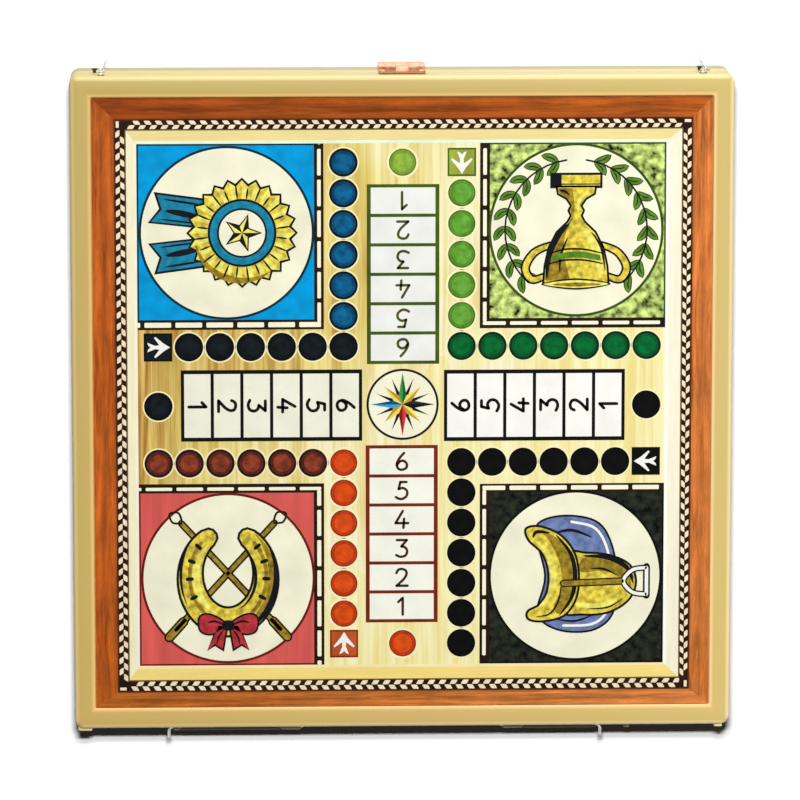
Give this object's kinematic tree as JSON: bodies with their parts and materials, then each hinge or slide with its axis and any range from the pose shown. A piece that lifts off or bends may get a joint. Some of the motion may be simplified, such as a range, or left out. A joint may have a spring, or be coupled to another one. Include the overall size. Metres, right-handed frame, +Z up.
{
  "type": "games compendium case",
  "caption": "Flat square hinged case of two moulded trays with printed game boards on both faces, a hasp, two wire hooks, and bays inside for pawns, draughtsmen, dice and cup.",
  "frame": {"origin": "centre of the overall box at the height of the surface that the case lies on", "axes": "+Z up out of the lid's game board, +X to the right along the clasp side, +Y towards the clasp, hinges towards -Y"},
  "size_m": [0.34, 0.3542, 0.042],
  "materials": {
    "tray_plastic": "satin moulded plastic in tan",
    "board": "printed and varnished hardboard",
    "divider_plastic": "matt",
    "steel_wire": "drawn wire",
    "screw_steel": "blackened",
    "copper_sheet": "satin copper plating",
    "light_wood": "varnished",
    "dark_wood": "stained and varnished",
    "cup_plastic": "matt",
    "die_plastic": "polished",
    "pawn_blue": "polished",
    "pawn_green": "polished",
    "pawn_red": "polished",
    "pawn_black": "polished"
  },
  "bodies": {
    "base": {"base_shell": "tray_plastic", "base_game_board": "board", "hook_catch_screw_left": "screw_steel", "hook_catch_screw_right": "screw_steel", "clasp_plate": "copper_sheet", "clasp_pin": "steel_wire", "clasp_plate_rivet_left": "copper_sheet", "clasp_plate_rivet_right": "copper_sheet", "divider_left": "divider_plastic", "divider_right": "divider_plastic", "divider_centre_cross": "divider_plastic", "divider_left_cross": "divider_plastic", "divider_right_cross_1": "divider_plastic", "divider_right_cross_2": "divider_plastic", "divider_right_cross_3": "divider_plastic", "pawn_blue_1": "pawn_blue", "pawn_blue_2": "pawn_blue", "pawn_blue_3": "pawn_blue", "pawn_blue_4": "pawn_blue", "pawn_green_1": "pawn_green", "pawn_green_2": "pawn_green", "pawn_green_3": "pawn_green", "pawn_green_4": "pawn_green", "pawn_red_1": "pawn_red", "pawn_red_2": "pawn_red", "pawn_red_3": "pawn_red", "pawn_red_4": "pawn_red", "pawn_black_1": "pawn_black", "pawn_black_2": "pawn_black", "pawn_black_3": "pawn_black", "pawn_black_4": "pawn_black", "draught_roll_light_1": "light_wood", "draught_roll_light_2": "light_wood", "draught_roll_dark_1": "dark_wood", "draught_roll_dark_2": "dark_wood", "dice_cup": "cup_plastic", "die_1": "die_plastic", "die_2": "die_plastic"},
    "lid": {"lid_shell": "tray_plastic", "lid_game_board": "board", "hook_pivot_screw_left": "screw_steel", "hook_pivot_screw_right": "screw_steel", "clasp_keeper": "copper_sheet", "keeper_rivet_left": "copper_sheet", "keeper_rivet_right": "copper_sheet"},
    "hinge_pin_left": {"hinge_pin_left": "steel_wire"},
    "hinge_pin_right": {"hinge_pin_right": "steel_wire"},
    "hook_left": {"hook_left": "steel_wire"},
    "hook_right": {"hook_right": "steel_wire"},
    "hasp": {"clasp_hasp": "copper_sheet"}
  },
  "joints": [
    {"name": "lid_hinge", "type": "hinge", "parent": "base", "child": "lid", "pos_m": [0, -0.1713, 0.028], "axis": [1, 0, 0], "range_deg": [0, 180]},
    {"name": "hinge_pin_left_turn", "type": "hinge", "parent": "base", "child": "hinge_pin_left", "pos_m": [-0.09, -0.1713, 0.028], "axis": [1, 0, 0], "range_deg": [0, 90]},
    {"name": "hinge_pin_right_turn", "type": "hinge", "parent": "base", "child": "hinge_pin_right", "pos_m": [0.078, -0.1713, 0.028], "axis": [1, 0, 0], "range_deg": [0, 90]},
    {"name": "hook_left_swing", "type": "hinge", "parent": "lid", "child": "hook_left", "pos_m": [-0.1539, 0.1717, 0.036], "axis": [0, 1, 0], "range_deg": [-90, 16]},
    {"name": "hook_right_swing", "type": "hinge", "parent": "lid", "child": "hook_right", "pos_m": [0.1539, 0.1717, 0.036], "axis": [0, 1, 0], "range_deg": [-78, 16]},
    {"name": "hasp_swing", "type": "hinge", "parent": "base", "child": "hasp", "pos_m": [0, 0.1738, 0.0242], "axis": [1, 0, 0], "range_deg": [0, 180]}
  ],
  "couplings": [
    {"joint": "hinge_pin_left_turn", "follows": "lid_hinge", "ratio": 0.5},
    {"joint": "hinge_pin_right_turn", "follows": "lid_hinge", "ratio": 0.5}
  ]
}
